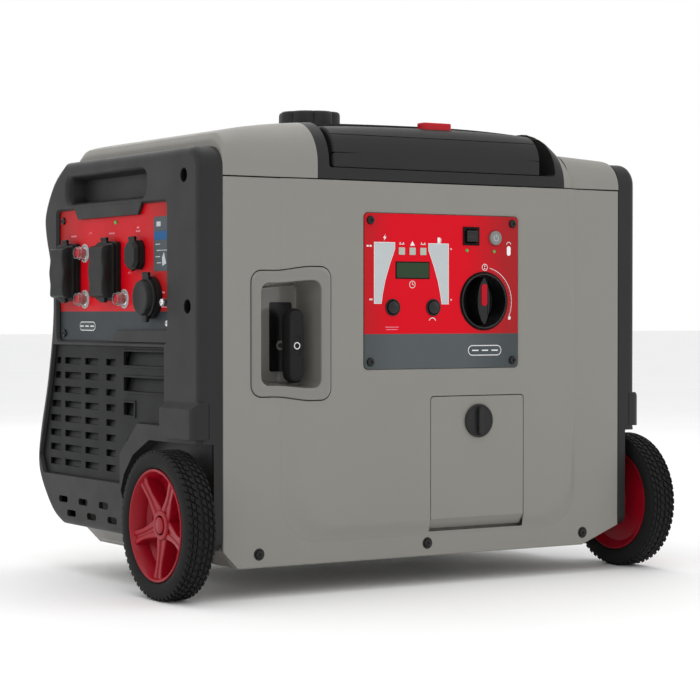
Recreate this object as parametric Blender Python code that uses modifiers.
"""Inverter generator: a closed plastic housing on two wheels, with a telescopic handle.

X runs along the long side, the control panel faces -Y and Z is up. The origin is on the floor
under the middle of the machine. Sizes are in metres.
"""

import math

import bmesh
import bpy
from mathutils import Matrix, Vector

GAP = 0.0003                 # clearance between pieces that touch
WALL = 0.003                 # moulded wall thickness
BODY_HALF = 0.2973           # half length of the grey body
SEAM = 0.2976                # inner edge of each end cap
CAP_OUT = 0.328              # outer face of each end cap
CAP_FACE = 0.323             # inner side of an end cap's face
PLATE_OUT = 0.3227           # outer side of the plates behind a cap's windows
PLATE_IN = 0.3197
FRONT = -0.2154              # raised middle of the front
FRONT_LOW = -0.2118          # front either side of the raised middle
FRONT_WALL = 0.005
RAISED_LEFT = -0.2025
RAISED_RIGHT = 0.2158
RAISED_BOTTOM = 0.073
PAN_Z = 0.037                # underside of the body
SPLIT_Z = 0.5005             # joint between the body and the top cover
TOP_Z = 0.577                # top of the raised band
TOP_LEFT_Z = 0.557           # top to the left of the band
TOP_LOW_Z = 0.545            # top to the right of the band
BAND_CORNER = 0.045          # round upper right corner of the band
CAP_TOP_Z = 0.536

WHEEL_RADIUS = 0.089
WHEEL_WIDTH = 0.038
WHEEL_MID = 0.3447           # distance of a wheel's middle plane from the machine's
WHEEL_Y = -0.1624
RIM_RADIUS = 0.0669
AXLE_RADIUS = 0.008
ARCH_RADIUS = 0.0965
ARCH_DEPTH = 0.3096

HANDLE_TUBES = (-0.132, 0.153)
TUBE_Y = -0.190
TUBE_RADIUS = 0.010
TUBE_BOTTOM = 0.110

CRANK_Y = 0.020
CRANK_Z = 0.230
REEL_RADIUS = 0.070          # from the reel's axis to the rope's centre
ROPE_RADIUS = 0.00275
GRIP_X = -0.192
GRIP_Z = CRANK_Z + REEL_RADIUS

FILLER = (-0.0745, -0.040)
KNOB = (0.077, 0.3544)
LOCK = (0.068, 0.2038)
KNOB_RADIUS = 0.0350
KNOB_FRONT = -0.2170
KNOB_BACK = -0.1880
BUTTONS = {
    "start_button": (0.0943, 0.4341, 0.0090),
    "select_button": (-0.0607, 0.3462, 0.0085),
    "reset_button": (-0.0004, 0.3462, 0.0085),
}
SWITCH = (0.0573, 0.4359)
SWITCH_HOLE = (SWITCH[0] - 0.0092, SWITCH[1] - 0.0085, SWITCH[0] + 0.0092, SWITCH[1] + 0.0085)
DISPLAY_HOLE = (-0.0555, 0.3825, -0.0071, 0.4018)
DOOR = (-0.0042, 0.0705, 0.1384, 0.2350)
DOOR_AXIS = (-0.2055, 0.0725)
PANEL = (-0.1022, 0.2706, 0.1305, 0.4615)
PANEL_FRONT = -0.2144
PANEL_BACK = -0.2124
BEZEL = (-0.2594, 0.2344, -0.1509, 0.3950)
POCKET = (-0.2451, 0.2500, -0.1653, 0.3780)
POCKET_FLOOR = -0.166
SQUARE_SOCKETS = {"near": (0.0330, 0.3925), "far": (0.1500, 0.3925)}
ROUND_SOCKET = (-0.0820, 0.3580)
DC_SOCKET = (-0.0450, 0.4105)
BREAKERS = {"top": (0.1085, 0.4163), "far": (0.1085, 0.3570), "near": (-0.0053, 0.3570)}
GROUND = (-0.1210, 0.3520)
FLANGE_OUT = -0.3290         # outer side of the socket flanges
LID_IN = -0.3293             # inner side of the socket covers

# Back edge of an end cap, (y, z) from the top corner down to the bottom.
BACK_EDGE = (
    (0.1616, 0.5360), (0.1980, 0.5130), (0.2260, 0.4730), (0.2250, 0.4400),
    (0.2060, 0.3850), (0.2050, 0.3250), (0.2216, 0.2500), (0.2420, 0.1900),
    (0.2513, 0.1450), (0.2400, 0.1130), (0.2050, 0.0760), (0.1750, 0.0620),
)

# Where a prism's flat outline (u, v) lies in space, for each direction it is extruded in.
PLANES = {
    "X": Matrix(((0, 0, 1, 0), (1, 0, 0, 0), (0, 1, 0, 0), (0, 0, 0, 1))),
    "Y": Matrix(((1, 0, 0, 0), (0, 0, -1, 0), (0, 1, 0, 0), (0, 0, 0, 1))),
    "Z": Matrix.Identity(4),
}
ALONG = {"X": Vector((1, 0, 0)), "Y": Vector((0, 1, 0)), "Z": Vector((0, 0, 1))}

COLOURS = {
    "housing_grey": ((0.26, 0.255, 0.24), 0.42, 0.0),
    "frame_black": ((0.035, 0.035, 0.036), 0.55, 0.0),
    "panel_red": ((0.62, 0.012, 0.035), 0.38, 0.0),
    "rim_red": ((0.42, 0.012, 0.03), 0.35, 0.0),
    "tyre_rubber": ((0.025, 0.025, 0.025), 0.85, 0.0),
    "soft_rubber": ((0.03, 0.03, 0.03), 0.8, 0.0),
    "bezel_grey": ((0.15, 0.15, 0.145), 0.2, 0.0),
    "display_green": ((0.02, 0.06, 0.035), 0.1, 0.0),
    "button_grey": ((0.3, 0.3, 0.3), 0.4, 0.0),
    "steel": ((0.55, 0.55, 0.56), 0.35, 1.0),
    "aluminium": ((0.65, 0.65, 0.66), 0.4, 1.0),
    "cast_alloy": ((0.4, 0.4, 0.41), 0.55, 1.0),
    "copper": ((0.6, 0.3, 0.15), 0.4, 1.0),
    "tank_white": ((0.6, 0.6, 0.56), 0.5, 0.0),
    "rope_black": ((0.05, 0.05, 0.05), 0.8, 0.0),
}


def clear_scene():
    for old in list(bpy.data.objects):
        bpy.data.objects.remove(old)


def collection(name):
    made = bpy.data.collections.new(name)
    bpy.context.scene.collection.children.link(made)
    return made


def material(name):
    colour, roughness, metallic = COLOURS[name]
    made = bpy.data.materials.new(name)
    made.use_nodes = True
    shader = made.node_tree.nodes["Principled BSDF"]
    shader.inputs["Base Color"].default_value = (*colour, 1)
    shader.inputs["Roughness"].default_value = roughness
    shader.inputs["Metallic"].default_value = metallic
    made.diffuse_color = (*colour, 1)
    return made


def link(mesh):
    """A working object for a mesh that lies in world coordinates."""
    made = bpy.data.objects.new("solid", mesh)
    PARTS.objects.link(made)
    return made


def solid(bm):
    """An object from a bmesh, with its faces welded and pointing out."""
    bmesh.ops.remove_doubles(bm, verts=bm.verts, dist=1e-6)
    bmesh.ops.recalc_face_normals(bm, faces=bm.faces)
    mesh = bpy.data.meshes.new("solid")
    bm.to_mesh(mesh)
    bm.free()
    return link(mesh)


def settle(obj):
    """Replaces an object by the plain mesh that its modifiers or its curve make."""
    bpy.context.view_layer.update()
    seen = obj.evaluated_get(bpy.context.evaluated_depsgraph_get())
    mesh = bpy.data.meshes.new_from_object(seen)
    bm = bmesh.new()
    bm.from_mesh(mesh)
    bm.transform(obj.matrix_world)
    bpy.data.meshes.remove(mesh)
    bpy.data.objects.remove(obj)
    return solid(bm)


def box(low, high):
    low, high = Vector(low), Vector(high)
    bm = bmesh.new()
    bmesh.ops.create_cube(bm, size=1)
    bmesh.ops.scale(bm, vec=high - low, verts=bm.verts)
    bmesh.ops.translate(bm, vec=(high + low) / 2, verts=bm.verts)
    return solid(bm)


def cylinder(centre, along, radius, low, high, sides=24, radius_high=None):
    """A cylinder or cone about centre (its two coordinates across), from low to high along X, Y or Z."""
    bm = bmesh.new()
    bmesh.ops.create_cone(
        bm, cap_ends=True, segments=sides, depth=high - low, radius1=radius,
        radius2=radius if radius_high is None else radius_high,
    )
    flip = -1 if along == "Y" else 1
    across = PLANES[along] @ Vector((centre[0], centre[1], 0))
    bmesh.ops.scale(bm, vec=(1, 1, flip), verts=bm.verts)
    bm.transform(PLANES[along])
    bmesh.ops.translate(bm, vec=across + ALONG[along] * (low + high) / 2, verts=bm.verts)
    return solid(bm)


def prism(outline, along, low, high):
    """A flat closed outline extruded from low to high along X, Y or Z."""
    curve = bpy.data.curves.new("outline", "CURVE")
    curve.dimensions = "2D"
    curve.fill_mode = "BOTH"
    curve.extrude = (high - low) / 2
    spline = curve.splines.new("POLY")
    spline.points.add(len(outline) - 1)
    for point, (u, v) in zip(spline.points, outline):
        point.co = (u, v, 0, 1)
    spline.use_cyclic_u = True
    made = bpy.data.objects.new("outline", curve)
    PARTS.objects.link(made)
    made.matrix_world = Matrix.Translation(ALONG[along] * (low + high) / 2) @ PLANES[along]
    return settle(made)


def turned(profile, along, centre, steps=40, mirror=1):
    """A closed (radius, distance) profile turned about an axis along X, Y or Z."""
    mesh = bpy.data.meshes.new("profile")
    points = [(radius, 0, distance * mirror) for radius, distance in profile]
    edges = [(i, (i + 1) % len(points)) for i in range(len(points))]
    mesh.from_pydata(points, edges, [])
    made = link(mesh)
    screw = made.modifiers.new("turn", "SCREW")
    screw.steps = steps
    screw.render_steps = steps
    screw.use_merge_vertices = True
    screw.merge_threshold = 1e-5
    made.matrix_world = Matrix.Translation(centre) @ PLANES[along]
    return settle(made)


def combine(target, tool, operation):
    step = target.modifiers.new("step", "BOOLEAN")
    step.operation = operation
    step.solver = "EXACT"
    step.object = tool
    done = settle(target)
    bpy.data.objects.remove(tool)
    return done


def cut(target, *tools):
    for tool in tools:
        target = combine(target, tool, "DIFFERENCE")
    return target


def join(target, *tools):
    for tool in tools:
        target = combine(target, tool, "UNION")
    return target


def group(pieces):
    """One object holding several solids that don't touch, for use as a single cutter."""
    bm = bmesh.new()
    for piece in pieces:
        bm.from_mesh(piece.data)
        bpy.data.objects.remove(piece)
    return solid(bm)


def part(obj, name, colour, origin=(0, 0, 0)):
    """Names a finished piece, gives it its own material and puts its origin on its axis."""
    origin = Vector(origin)
    obj.name = name
    obj.data.name = name
    obj.data.transform(Matrix.Translation(-origin))
    obj.location = origin
    obj.data.materials.clear()
    obj.data.materials.append(material(colour))
    obj.data.shade_smooth()
    obj.data.set_sharp_from_angle(angle=math.radians(35))
    return obj


def arc(centre_u, centre_v, radius, start, end, steps=5):
    """Points of an arc from angle start to end, in degrees."""
    angles = (math.radians(start + (end - start) * i / steps) for i in range(steps + 1))
    return [(centre_u + radius * math.cos(a), centre_v + radius * math.sin(a)) for a in angles]


def rounded(u0, v0, u1, v1, radius, steps=4):
    """A rectangle's outline with round corners."""
    r = radius
    return (
        arc(u1 - r, v1 - r, r, 0, 90, steps) + arc(u0 + r, v1 - r, r, 90, 180, steps)
        + arc(u0 + r, v0 + r, r, 180, 270, steps) + arc(u1 - r, v0 + r, r, 270, 360, steps)
    )


def circle(centre, radius, sides=24):
    return arc(centre[0], centre[1], radius, 0, 360 - 360 / sides, sides - 1)


def smooth(points, steps=2):
    """A smooth open curve through points, steps to each span."""
    made = []
    for i in range(len(points) - 1):
        before = Vector(points[max(i - 1, 0)])
        start, end = Vector(points[i]), Vector(points[i + 1])
        after = Vector(points[min(i + 2, len(points) - 1)])
        for k in range(steps):
            t = k / steps
            swing = (end - before) * t + (2 * before - 5 * start + 4 * end - after) * t * t
            swing += (3 * start - before - 3 * end + after) * t ** 3
            made.append(tuple(start + swing / 2))
    return made + [tuple(points[-1])]


def inset(outline, distance):
    """A closed outline moved inwards by distance, each corner along its mitre."""
    count = len(outline)
    area = sum(
        outline[i][0] * outline[(i + 1) % count][1] - outline[(i + 1) % count][0] * outline[i][1]
        for i in range(count)
    )
    turn = 1 if area > 0 else -1
    made = []
    for i in range(count):
        here = Vector(outline[i])
        into = (here - Vector(outline[i - 1])).normalized()
        out = (Vector(outline[(i + 1) % count]) - here).normalized()
        normal_in = Vector((-into.y, into.x)) * turn
        normal_out = Vector((-out.y, out.x)) * turn
        mitre = (normal_in + normal_out).normalized()
        made.append(tuple(here + mitre * distance / max(mitre.dot(normal_in), 0.4)))
    return made


def span(side, near, far):
    """Low and high x of something from near to far on one side of the machine."""
    return sorted((side * near, side * far))


def side_box(side, near, far, y0, y1, z0, z1):
    low, high = span(side, near, far)
    return box((low, y0, z0), (high, y1, z1))


# ---------------------------------------------------------------- housing shells


def cap_outline():
    chamfer = [(0.0, 0.0620), (-0.1974, 0.0580), (FRONT_LOW, 0.0640)]
    corner = arc(FRONT_LOW + 0.028, CAP_TOP_Z - 0.028, 0.028, 180, 90)
    return chamfer + corner + smooth(BACK_EDGE)


def band_outline(front, top, back, radius, back_radius):
    """The top cover's section, from the front of the joint over the top to the back."""
    return (
        [(front, SPLIT_Z + GAP)] + arc(front + radius, top - radius, radius, 180, 90, 8)
        + arc(back - back_radius, top - back_radius, back_radius, 90, 0, 6) + [(back, SPLIT_Z + GAP)]
    )


def front_panel():
    sheet_outline = [
        (-0.277, PAN_Z), (0.238, PAN_Z), (BODY_HALF, 0.060), (BODY_HALF, SPLIT_Z - GAP),
        (-BODY_HALF, SPLIT_Z - GAP), (-BODY_HALF, 0.058),
    ]
    top = SPLIT_Z - GAP
    raised = (
        [(RAISED_RIGHT, top), (RAISED_LEFT, top)]
        + arc(RAISED_LEFT + 0.05, RAISED_BOTTOM + 0.05, 0.05, 180, 270)
        + arc(RAISED_RIGHT - 0.05, RAISED_BOTTOM + 0.05, 0.05, 270, 360)
    )
    sheet = prism(sheet_outline, "Y", FRONT_LOW, FRONT_LOW + WALL)
    raised_block = prism(raised, "Y", FRONT, FRONT_LOW + WALL)
    hollow = inset([(RAISED_RIGHT, top + 0.02), (RAISED_LEFT, top + 0.02)] + raised[2:], FRONT_WALL)
    shell = cut(join(sheet, raised_block), prism(hollow, "Y", FRONT + FRONT_WALL, FRONT_LOW + 0.02))
    x0, z0, x1, z1 = PANEL
    rebate = prism(rounded(x0 - 0.0006, z0 - 0.0006, x1 + 0.0006, z1 + 0.0006, 0.006), "Y",
                   FRONT - 0.01, PANEL_BACK + GAP)
    window = prism(rounded(x0 + 0.006, z0 + 0.006, x1 - 0.006, z1 - 0.006, 0.004), "Y",
                   FRONT - 0.01, FRONT + 0.02)
    u0, v0, u1, v1 = BEZEL
    recoil = prism(rounded(u0 - 0.0004, v0 - 0.0004, u1 + 0.0004, v1 + 0.0004, 0.0144), "Y",
                   FRONT - 0.01, FRONT + 0.03)
    d0, e0, d1, e1 = DOOR
    door = prism(rounded(d0 - 0.0008, e0 + 0.0200, d1 + 0.0008, e1 + 0.0008, 0.005), "Y",
                 FRONT - 0.01, FRONT + 0.03)
    swing = box((d0 - 0.0008, FRONT - 0.01, e0 - 0.0030), (d1 + 0.0008, FRONT + 0.03, e0 + 0.0300))
    door = join(door, swing)
    shell = cut(shell, rebate, window, recoil, door)
    return part(shell, "front_panel", "housing_grey")


def band_block(section, low, high, corner):
    """The raised band's section run from low to high, with a round upper corner at its right end."""
    block = prism(section, "X", low, high)
    top = max(z for y, z in section)
    face = [(low - 0.01, 0.40), (high, 0.40)] + arc(high - corner, top - corner, corner, 0, 90, 6)
    return combine(block, prism(face + [(low - 0.01, top)], "Y", -0.25, 0.25), "INTERSECT")


def lowered(outline):
    """A section of the wall's inside, with its bottom edge dropped, so that it cuts the shell open below."""
    dropped = [(y, z - 0.02 if z < SPLIT_Z + 0.001 else z) for y, z in outline]
    return inset(dropped, WALL)


def housing_face(gap):
    """The handle housing seen from the front, grown by gap, with a round upper right corner."""
    left, right, base, radius = -0.1688 - gap, 0.2040 + gap, 0.49, 0.038
    corner = arc(right - radius, TOP_Z - 0.0020 + gap - radius, radius, 0, 86, 8)
    return [(left, base), (right, base)] + corner + [(0.150, 0.62), (left, 0.62)]


def top_cover():
    left = band_outline(FRONT_LOW, TOP_LEFT_Z, 0.1985, 0.045, 0.038)
    right = band_outline(FRONT_LOW, TOP_LOW_Z, 0.1985, 0.035, 0.038)
    high = band_outline(FRONT, TOP_Z, 0.2020, 0.055, 0.060)
    middle = 0.150
    outer = join(prism(left, "X", -BODY_HALF, middle), prism(right, "X", middle, BODY_HALF))
    outer = join(outer, band_block(high, RAISED_LEFT, RAISED_RIGHT, BAND_CORNER))
    inner_left = prism(lowered(left), "X", -BODY_HALF + WALL, middle + 0.01)
    inner_right = prism(lowered(right), "X", middle, BODY_HALF - WALL)
    inner_high = band_block(lowered(high), RAISED_LEFT + WALL, RAISED_RIGHT - WALL, BAND_CORNER - WALL)
    notch = prism(housing_face(0.0003), "Y", -0.25, -0.1347)
    filler = cylinder(FILLER, "Z", 0.031, 0.55, 0.60)
    shell = cut(outer, inner_left, inner_right, inner_high, notch, filler)
    return part(shell, "top_cover", "housing_grey")


def back_panel():
    edge = [(y - WALL, z) for y, z in smooth(BACK_EDGE) if z < SPLIT_Z - 0.004]
    edge = [(edge[0][0] - 0.003, SPLIT_Z - GAP)] + edge
    inner = [(y - WALL, z) for y, z in edge]
    lip = [(0.1750 - WALL, 0.0590)]
    outline = edge + lip + list(reversed(inner))
    return part(prism(outline, "X", -BODY_HALF, BODY_HALF), "back_panel", "housing_grey")


def base_pan():
    low, high = Vector((-0.2965, -0.2000, PAN_Z)), Vector((0.2965, 0.1650, 0.1050))
    pan = box(low, high)
    inside = box(low + Vector((WALL, WALL, WALL + 0.001)), high + Vector((-WALL, -WALL, 0.01)))
    bearing = cylinder((WHEEL_Y, WHEEL_RADIUS), "X", AXLE_RADIUS + GAP, -0.31, 0.31, 24)
    return part(cut(pan, inside, bearing), "base_pan", "housing_grey")


def end_cap(side, name):
    outline = cap_outline()
    cap = prism(outline, "X", *span(side, SEAM, CAP_OUT))
    cap = cut(cap, prism(inset(outline, 0.0035), "X", *span(side, SEAM - 0.01, CAP_FACE)))

    wheel = (WHEEL_Y, WHEEL_RADIUS)
    depth = span(side, ARCH_DEPTH - WALL, CAP_FACE + 0.0005)
    liner = cylinder(wheel, "X", ARCH_RADIUS + 0.004, *depth, 32)
    liner = combine(liner, prism(inset(outline, 0.0005), "X", *depth), "INTERSECT")
    fender = prism(rounded(FRONT_LOW, 0.190, -0.1244, 0.235, 0.004), "X", *span(side, CAP_FACE + 0.001, 0.3365))
    pocket = prism(rounded(-0.075, 0.479, 0.155, 0.519, 0.012), "X", *span(side, 0.3005, CAP_FACE + 0.0005))
    cap = join(cap, liner, fender, pocket)

    arch = cylinder(wheel, "X", ARCH_RADIUS, *span(side, ARCH_DEPTH, 0.345), 32)
    axle = cylinder(wheel, "X", AXLE_RADIUS + 0.0005, *span(side, 0.29, 0.345), 24)
    grip = prism(rounded(-0.070, 0.482, 0.150, 0.514, 0.010), "X", *span(side, 0.3035, 0.345))
    upper = prism(rounded(-0.127, 0.304, 0.183, 0.473, 0.006), "X", *span(side, 0.318, 0.345))
    lower_outline = [
        (-0.120, 0.205), (-0.050, 0.205), (0.000, 0.165), (0.000, 0.128), (0.226, 0.128),
        (0.238, 0.150), (0.206, 0.250), (0.194, 0.297), (-0.120, 0.297),
    ]
    lower = prism(lower_outline, "X", *span(side, 0.318, 0.345))
    cap = cut(cap, arch, axle, grip, upper, lower)
    holes = [
        prism(rounded(y - 0.011, z - 0.0035, y + 0.011, z + 0.0035, 0.003, 2), "X", *span(side, 0.318, 0.345))
        for y, z in ((0.045, 0.0955), (0.105, 0.0955), (0.165, 0.0955), (0.020, 0.0785), (0.080, 0.0785),
                     (0.140, 0.0785))
    ]
    return part(cut(cap, group(holes)), name, "frame_black")


def slots(side, rows, columns, height):
    """A block of slot cutters: rows of heights z and columns of (y0, y1)."""
    return [side_box(side, 0.315, 0.330, y0, y1, z, z + height) for z in rows for y0, y1 in columns]


def outlet_grille():
    outline = [
        (-0.124, 0.201), (-0.048, 0.201), (-0.004, 0.163), (-0.004, 0.124), (0.228, 0.124),
        (0.241, 0.150), (0.2095, 0.250), (0.1975, 0.2995), (-0.124, 0.2995),
    ]
    plate = prism(outline, "X", -PLATE_OUT, -PLATE_IN)
    rows = [0.1392 + 0.0191 * i for i in range(8)]
    columns = ((0.0200, 0.0465), (0.0700, 0.1080), (0.1210, 0.1690), (0.1800, 0.2020))
    louvres = slots(-1, (0.2750, 0.2432), ((-0.116, -0.006),), 0.016)
    short = slots(-1, (0.2130,), ((-0.030, -0.006),), 0.015)
    cutters = group(slots(-1, rows, columns, 0.008) + louvres + short)
    return part(cut(plate, cutters), "outlet_grille", "frame_black")


def exhaust_grille():
    outline = [
        (-0.124, 0.201), (-0.048, 0.201), (-0.004, 0.163), (-0.004, 0.124), (0.228, 0.124),
        (0.241, 0.150), (0.2095, 0.250), (0.1975, 0.2995), (0.188, 0.477), (-0.131, 0.477), (-0.131, 0.2995),
    ]
    plate = prism(outline, "X", PLATE_IN, PLATE_OUT)
    lower = slots(1, [0.1400 + 0.0196 * i for i in range(7)], ((0.020, 0.080), (0.100, 0.180)), 0.009)
    upper = slots(1, [0.3120 + 0.0200 * i for i in range(8)], ((-0.115, -0.030), (0.115, 0.172)), 0.010)
    outlet = cylinder((0.055, 0.380), "X", 0.0300, 0.31, 0.33)
    return part(cut(plate, group(lower + upper), outlet), "exhaust_grille", "frame_black")


# ---------------------------------------------------------------- wheels and feet


def wheel(side, label):
    centre = (side * WHEEL_MID, WHEEL_Y, WHEEL_RADIUS)
    half = WHEEL_WIDTH / 2
    bead = RIM_RADIUS + GAP
    tyre_profile = [
        (bead, -0.0140), (bead, 0.0140), (0.0720, half - 0.0005), (0.0820, half),
        (0.0870, half - 0.0025), (WHEEL_RADIUS, half - 0.0070), (WHEEL_RADIUS, -half + 0.0070),
        (0.0870, -half + 0.0025), (0.0820, -half), (0.0720, -half + 0.0005),
    ]
    part(turned(tyre_profile, "X", centre), "tyre_" + label, "tyre_rubber", centre)
    bore = AXLE_RADIUS + GAP
    rim_profile = [
        (bore, -0.012), (0.018, -0.012), (0.018, -0.001), (0.061, -0.001), (0.061, -0.0165),
        (RIM_RADIUS, -0.0165), (RIM_RADIUS, 0.0165), (0.061, 0.0165), (0.061, 0.004),
        (0.018, 0.004), (0.018, 0.012), (bore, 0.012),
    ]
    rim = turned(rim_profile, "X", centre, 32, side)
    windows = []
    for i in range(5):
        angle = math.radians(54 + 72 * i)
        middle = (WHEEL_Y + 0.041 * math.cos(angle), WHEEL_RADIUS + 0.041 * math.sin(angle))
        windows.append(cylinder(middle, "X", 0.0165, *span(side, WHEEL_MID - 0.01, WHEEL_MID + 0.01), 10))
    part(cut(rim, group(windows)), "rim_" + label, "rim_red", centre)


def running_gear():
    wheel(-1, "left")
    wheel(1, "right")
    part(cylinder((WHEEL_Y, WHEEL_RADIUS), "X", AXLE_RADIUS, -0.354, 0.354, 24), "axle", "steel")
    for side, label in ((-1, "left"), (1, "right")):
        foot = cylinder((side * 0.225, 0.130), "Z", 0.016, 0.0, PAN_Z - GAP, 24, 0.019)
        part(foot, "foot_" + label, "soft_rubber")


# ---------------------------------------------------------------- handle


def handle_housing():
    radius = 0.055
    section = (
        [(FRONT, SPLIT_Z + GAP)] + arc(FRONT + radius, TOP_Z - radius, radius, 180, 90, 8)
        + [(-0.135, TOP_Z), (-0.135, SPLIT_Z + GAP)]
    )
    block = prism(section, "X", -0.1688, 0.2040)
    block = combine(block, prism(housing_face(0.0), "Y", -0.25, -0.10), "INTERSECT")
    recess = box((-0.153, -0.25, 0.515), (0.190, -0.149, 0.60))
    bores = [cylinder((x, TUBE_Y), "Z", TUBE_RADIUS + 0.0008, 0.49, 0.53, 24) for x in HANDLE_TUBES]
    return part(cut(block, recess, group(bores)), "handle_housing", "frame_black")


def handle():
    front, back, top = -0.2134, -0.1660, 0.571
    section = (
        [(back, 0.516), (front, 0.516)] + arc(front + 0.030, top - 0.030, 0.030, 180, 90, 6)
        + arc(back - 0.010, top - 0.010, 0.010, 90, 0, 4)
    )
    grip = prism(section, "X", -0.1465, 0.1672)
    fingers = prism(rounded(-0.118, 0.50, 0.137, 0.546, 0.010), "Y", -0.25, -0.15)
    socket = box((0.0034, -0.1876, 0.560), (0.0486, -0.1684, 0.60))
    part(cut(grip, fingers, socket), "handle_grip", "frame_black")
    for x, label in zip(HANDLE_TUBES, ("left", "right")):
        tube = cylinder((x, TUBE_Y), "Z", TUBE_RADIUS, TUBE_BOTTOM, 0.516 - GAP, 24)
        bore = cylinder((x, TUBE_Y), "Z", TUBE_RADIUS - 0.0015, TUBE_BOTTOM - 0.01, 0.510, 24)
        part(cut(tube, bore), "handle_tube_" + label, "aluminium")
        sleeve = cylinder((x, TUBE_Y), "Z", TUBE_RADIUS + 0.0025, 0.120, SPLIT_Z - 0.0005, 24)
        guide = cylinder((x, TUBE_Y), "Z", TUBE_RADIUS + 0.0005, 0.110, 0.510, 24)
        part(cut(sleeve, guide), "guide_sleeve_" + label, "steel")
    button = prism(rounded(0.004, -0.187, 0.048, -0.169, 0.005), "Z", 0.566, 0.5785)
    part(button, "release_button", "panel_red")


# ---------------------------------------------------------------- control panel


def control_panel():
    x0, z0, x1, z1 = PANEL
    plate = prism(rounded(x0, z0, x1, z1, 0.0055), "Y", PANEL_FRONT, PANEL_BACK)
    low, high = PANEL_FRONT - 0.01, PANEL_BACK + 0.01
    holes = [
        prism(rounded(*DISPLAY_HOLE, 0.001, 1), "Y", low, high),
        prism(rounded(*SWITCH_HOLE, 0.001, 1), "Y", low, high),
        cylinder(KNOB, "Y", KNOB_RADIUS + 0.0005, low, high, 32),
    ]
    holes += [cylinder((x, z), "Y", radius + 0.0004, low, high, 24) for x, z, radius in BUTTONS.values()]
    part(cut(plate, group(holes)), "control_panel", "panel_red")

    a0, b0, a1, b1 = DISPLAY_HOLE
    lens = prism(rounded(a0 + GAP, b0 + GAP, a1 - GAP, b1 - GAP, 0.001, 1), "Y", -0.2152, -0.2128)
    part(lens, "display_window", "display_green")
    for name, (x, z, radius) in BUTTONS.items():
        button = cylinder((x, z), "Y", radius, -0.2182, -0.2040, 24)
        part(button, name, "button_grey", (x, -0.2182, z))
    x, z = SWITCH
    rocker = prism(rounded(-0.2185, z - 0.0072, -0.2095, z + 0.0072, 0.0015, 2), "X", x - 0.0085, x + 0.0085)
    part(rocker, "eco_switch", "frame_black", (x, -0.2135, z))

    x, z = KNOB
    knob = cylinder(KNOB, "Y", KNOB_RADIUS, KNOB_FRONT, KNOB_BACK, 32)
    bowl = cylinder(KNOB, "Y", KNOB_RADIUS - 0.0025, KNOB_FRONT - 0.01, KNOB_BACK - 0.0025, 32)
    ridge = prism(rounded(x - 0.0100, z - 0.0310, x + 0.0100, z + 0.0310, 0.0060), "Y", -0.2160, KNOB_BACK - 0.0015)
    part(join(cut(knob, bowl), ridge), "selector_knob", "frame_black", (x, -0.2150, z))
    part(box((-0.100, -0.2000, 0.290), (0.035, -0.1650, 0.455)), "control_box", "frame_black")


def maintenance_door():
    x0, z0, x1, z1 = DOOR
    section = [
        (FRONT, z1), (FRONT, 0.0830), (FRONT + 0.0084, z0), (FRONT + 0.0114, z0),
        (FRONT + WALL, 0.0845), (FRONT + WALL, z1),
    ]
    leaf = prism(section, "X", x0, x1)
    shape = prism(rounded(x0, z0 - 0.02, x1, z1, 0.0045), "Y", FRONT - 0.01, FRONT + 0.02)
    hinge = cylinder(DOOR_AXIS, "X", 0.0020, x0 + 0.010, x0 + 0.030, 16)
    other = cylinder(DOOR_AXIS, "X", 0.0020, x1 - 0.030, x1 - 0.010, 16)
    stud_hole = cylinder(LOCK, "Y", 0.0054, FRONT - 0.01, FRONT + 0.02, 20)
    leaf = join(combine(leaf, shape, "INTERSECT"), hinge, other)
    part(cut(leaf, stud_hole), "maintenance_door", "housing_grey", (0.0, *DOOR_AXIS))

    x, z = LOCK
    head = cylinder(LOCK, "Y", 0.021, FRONT - 0.0036, FRONT - GAP, 32)
    ridge = prism(rounded(x - 0.0035, z - 0.0170, x + 0.0035, z + 0.0170, 0.0025, 3), "Y", FRONT - 0.0080,
                  FRONT - 0.0030)
    stud = cylinder(LOCK, "Y", 0.0050, FRONT - 0.002, FRONT + 0.0095, 20)
    part(join(head, ridge, stud), "door_lock", "frame_black", (x, FRONT, z))


# ---------------------------------------------------------------- recoil starter


def recoil():
    bezel = prism(rounded(*BEZEL, 0.014), "Y", FRONT - 0.002, POCKET_FLOOR + WALL)
    pocket = prism(rounded(*POCKET, 0.010), "Y", FRONT - 0.01, POCKET_FLOOR)
    step = box((-0.27, -0.23, 0.20), (-0.205, FRONT_LOW - 0.002, 0.42))
    rope_hole = cylinder((GRIP_X, GRIP_Z), "Y", 0.0060, POCKET_FLOOR - 0.01, POCKET_FLOOR + 0.01, 20)
    part(cut(bezel, pocket, step, rope_hole), "recoil_bezel", "bezel_grey")

    grip = prism(rounded(GRIP_X - 0.011, GRIP_Z - 0.045, GRIP_X + 0.011, GRIP_Z + 0.045, 0.006), "Y",
                 -0.2050, -0.1830)
    part(grip, "recoil_grip", "soft_rubber", (GRIP_X, -0.2050, GRIP_Z))
    rope = cylinder((GRIP_X, GRIP_Z), "Y", ROPE_RADIUS, -0.1827, 0.137, 12)
    part(rope, "recoil_rope", "rope_black", (GRIP_X, -0.1827, GRIP_Z))

    centre = (GRIP_X, CRANK_Y, CRANK_Z)
    groove = REEL_RADIUS - ROPE_RADIUS - 0.0004
    profile = [
        (0.0100, -0.009), (0.0780, -0.009), (0.0780, -0.006), (groove, -0.006),
        (groove, 0.006), (0.0780, 0.006), (0.0780, 0.009), (0.0100, 0.009),
    ]
    part(turned(profile, "X", centre, 40), "recoil_reel", "frame_black", centre)


# ---------------------------------------------------------------- engine and electrics


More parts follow.
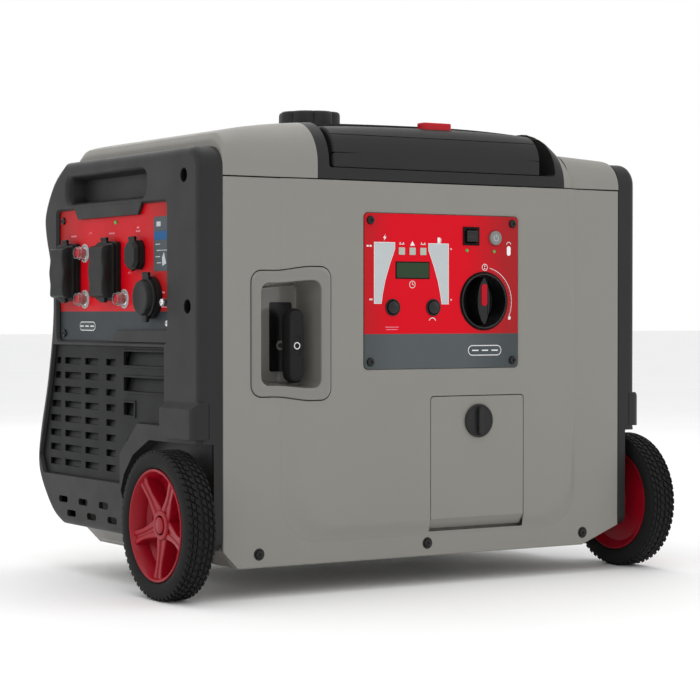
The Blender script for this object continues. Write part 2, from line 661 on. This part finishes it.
def alternator_and_engine():
    centre = (0.0, CRANK_Y, CRANK_Z)
    profile = [
        (0.0, -0.206), (0.0095, -0.206), (0.0095, -0.150), (0.0880, -0.150), (0.0880, -0.089),
        (0.0830, -0.089), (0.0830, -0.144), (0.0095, -0.144), (0.0095, 0.060), (0.0, 0.060),
    ]
    rotor = turned(profile, "X", centre, 40)
    for i in range(8):
        angle = math.radians(45 * i)
        blade = box((-0.166, CRANK_Y + 0.030, CRANK_Z - 0.0015), (-0.149, CRANK_Y + 0.084, CRANK_Z + 0.0015))
        blade.data.transform(
            Matrix.Translation(centre) @ Matrix.Rotation(angle, 4, "X") @ Matrix.Translation(-Vector(centre))
        )
        rotor = join(rotor, blade)
    part(rotor, "flywheel_rotor", "steel", centre)

    ring = [(0.0300, -0.138), (0.0800, -0.138), (0.0800, -0.0885), (0.0300, -0.0885)]
    part(turned(ring, "X", centre, 40), "stator", "copper")

    crankcase = prism(circle((CRANK_Y, CRANK_Z), 0.090, 16), "X", -0.085, 0.075)
    barrel = box((-0.045, -0.050, 0.0), (0.055, 0.050, 0.165))
    barrel.data.transform(Matrix.Translation((0, CRANK_Y, CRANK_Z)) @ Matrix.Rotation(math.radians(-35), 4, "X"))
    legs = [box((-0.080, y, PAN_Z + 0.0043), (0.070, y + 0.022, CRANK_Z)) for y in (-0.050, 0.070)]
    bore = cylinder((CRANK_Y, CRANK_Z), "X", 0.0100, -0.10, 0.064, 24)
    block = cut(join(crankcase, barrel, *legs), bore)
    part(block, "engine_block", "cast_alloy")

    muffler = prism(rounded(-0.060, 0.300, 0.140, 0.440, 0.030), "X", 0.165, 0.290)
    pipe = cylinder((0.055, 0.380), "X", 0.0180, 0.285, 0.3260, 24)
    bore = cylinder((0.055, 0.380), "X", 0.0150, 0.292, 0.3400, 24)
    part(cut(join(muffler, pipe), bore), "muffler", "steel")
    part(box((0.152, -0.150, 0.160), (0.240, -0.060, 0.262)), "air_filter_box", "frame_black")
    part(box((0.085, -0.125, 0.180), (0.145, -0.082, 0.240)), "carburettor", "cast_alloy")
    part(box((-0.275, -0.135, PAN_Z + 0.0043), (-0.175, -0.062, 0.140)), "battery", "frame_black")
    module = box((-0.280, -0.045, PAN_Z + 0.0043), (-0.160, 0.150, 0.140))
    fins = [box((-0.285, -0.034 + 0.019 * i, 0.110), (-0.155, -0.022 + 0.019 * i, 0.150)) for i in range(10)]
    part(cut(module, group(fins)), "inverter_module", "aluminium")


def fuel_system():
    x, y = FILLER
    tank = prism(rounded(-0.215, -0.130, 0.125, 0.150, 0.030), "Z", 0.415, 0.535)
    neck = cylinder(FILLER, "Z", 0.0280, 0.530, 0.5860)
    inside = prism(rounded(-0.212, -0.127, 0.122, 0.147, 0.027), "Z", 0.418, 0.532)
    bore = cylinder(FILLER, "Z", 0.0250, 0.525, 0.60)
    part(cut(join(tank, neck), join(inside, bore)), "fuel_tank", "tank_white")

    cap = cylinder(FILLER, "Z", 0.040, TOP_Z + 0.0008, 0.598, 40)
    hollow = cylinder(FILLER, "Z", 0.0290, TOP_Z - 0.01, 0.5885)
    scallops = []
    for i in range(8):
        angle = math.radians(22.5 + 45 * i)
        middle = (x + 0.0455 * math.cos(angle), y + 0.0455 * math.sin(angle))
        scallops.append(cylinder(middle, "Z", 0.0090, TOP_Z + 0.006, 0.61, 12))
    part(cut(cap, hollow, group(scallops)), "fuel_cap", "frame_black", (x, y, TOP_Z))


# ---------------------------------------------------------------- outlet panel


def outlet_panel():
    plate = prism(rounded(-0.131, 0.3005, 0.187, 0.4770, 0.004), "X", -PLATE_OUT, -PLATE_IN)
    low, high = -0.33, -0.31
    holes = [cylinder(at, "X", 0.0208, low, high) for at in SQUARE_SOCKETS.values()]
    holes += [cylinder(ROUND_SOCKET, "X", 0.0168, low, high), cylinder(DC_SOCKET, "X", 0.0128, low, high)]
    holes += [cylinder(at, "X", 0.0064, low, high, 20) for at in BREAKERS.values()]
    holes.append(cylinder(GROUND, "X", 0.0053, low, high, 20))
    part(cut(plate, group(holes)), "outlet_panel", "panel_red")
    part(cylinder(GROUND, "X", 0.0050, -0.3300, -0.3100, 20), "ground_terminal", "steel")
    for label, (y, z) in BREAKERS.items():
        button = cylinder((y, z), "X", 0.0060, -0.3350, -0.3000, 20)
        part(button, "breaker_" + label, "button_grey", (-0.3350, y, z))


def socket(name, centre, flange, radius, depth):
    """A socket: a flange in front of the panel and a round well behind it."""
    well = cylinder(centre, "X", radius, -0.3250, FLANGE_OUT + depth)
    hollow = cylinder(centre, "X", radius - 0.0025, -0.335, FLANGE_OUT + depth - 0.002)
    part(cut(join(prism(flange, "X", FLANGE_OUT, -PLATE_OUT - GAP), well), hollow), name, "frame_black")


def socket_cover(name, leaf, face, y, axis_z):
    """A cover hung on a barrel along its top edge. The leaf lies flat, its face stands prouder."""
    cover = prism(leaf, "X", -0.3330, LID_IN)
    cover = join(cover, prism(face[0], "X", face[1], -0.3320))
    barrel = prism(circle((-0.3325, axis_z), 0.0028, 12), "Y", y - 0.014, y + 0.014)
    web = box((-0.3350, y - 0.014, axis_z - 0.006), (-0.3300, y + 0.014, axis_z))
    part(join(cover, web, barrel), name, "soft_rubber", (-0.3325, y, axis_z))


def sockets():
    for label, (y, z) in SQUARE_SOCKETS.items():
        flange = rounded(y - 0.0285, z - 0.0375, y + 0.0285, z + 0.0365, 0.005)
        socket("square_socket_" + label, (y, z), flange, 0.0205, 0.036)
        leaf = rounded(y - 0.0260, z - 0.0365, y + 0.0260, z + 0.0345, 0.005)
        face = (rounded(y - 0.0240, z - 0.0330, y + 0.0240, z + 0.0310, 0.008), -0.3450)
        socket_cover("square_cover_" + label, leaf, face, y, z + 0.0400)
    y, z = ROUND_SOCKET
    socket("round_socket", ROUND_SOCKET, circle(ROUND_SOCKET, 0.0260), 0.0165, 0.030)
    face = (circle(ROUND_SOCKET, 0.0215), -0.3410)
    socket_cover("round_cover", circle(ROUND_SOCKET, 0.0240), face, y, z + 0.0290)
    y, z = DC_SOCKET
    cut_corner = 0.007
    octagon = [
        (y - 0.017, z - 0.018 + cut_corner), (y - 0.017 + cut_corner, z - 0.018),
        (y + 0.017 - cut_corner, z - 0.018), (y + 0.017, z - 0.018 + cut_corner),
        (y + 0.017, z + 0.018 - cut_corner), (y + 0.017 - cut_corner, z + 0.018),
        (y - 0.017 + cut_corner, z + 0.018), (y - 0.017, z + 0.018 - cut_corner),
    ]
    socket("dc_socket", DC_SOCKET, octagon, 0.0125, 0.026)
    socket_cover("dc_cover", inset(octagon, 0.001), (inset(octagon, 0.003), -0.3365), y, z + 0.0210)


clear_scene()
PARTS = collection("inverter_generator")
base_pan()
front_panel()
back_panel()
top_cover()
end_cap(-1, "outlet_end_cap")
end_cap(1, "exhaust_end_cap")
outlet_grille()
exhaust_grille()
running_gear()
handle_housing()
handle()
control_panel()
maintenance_door()
recoil()
alternator_and_engine()
fuel_system()
outlet_panel()
sockets()
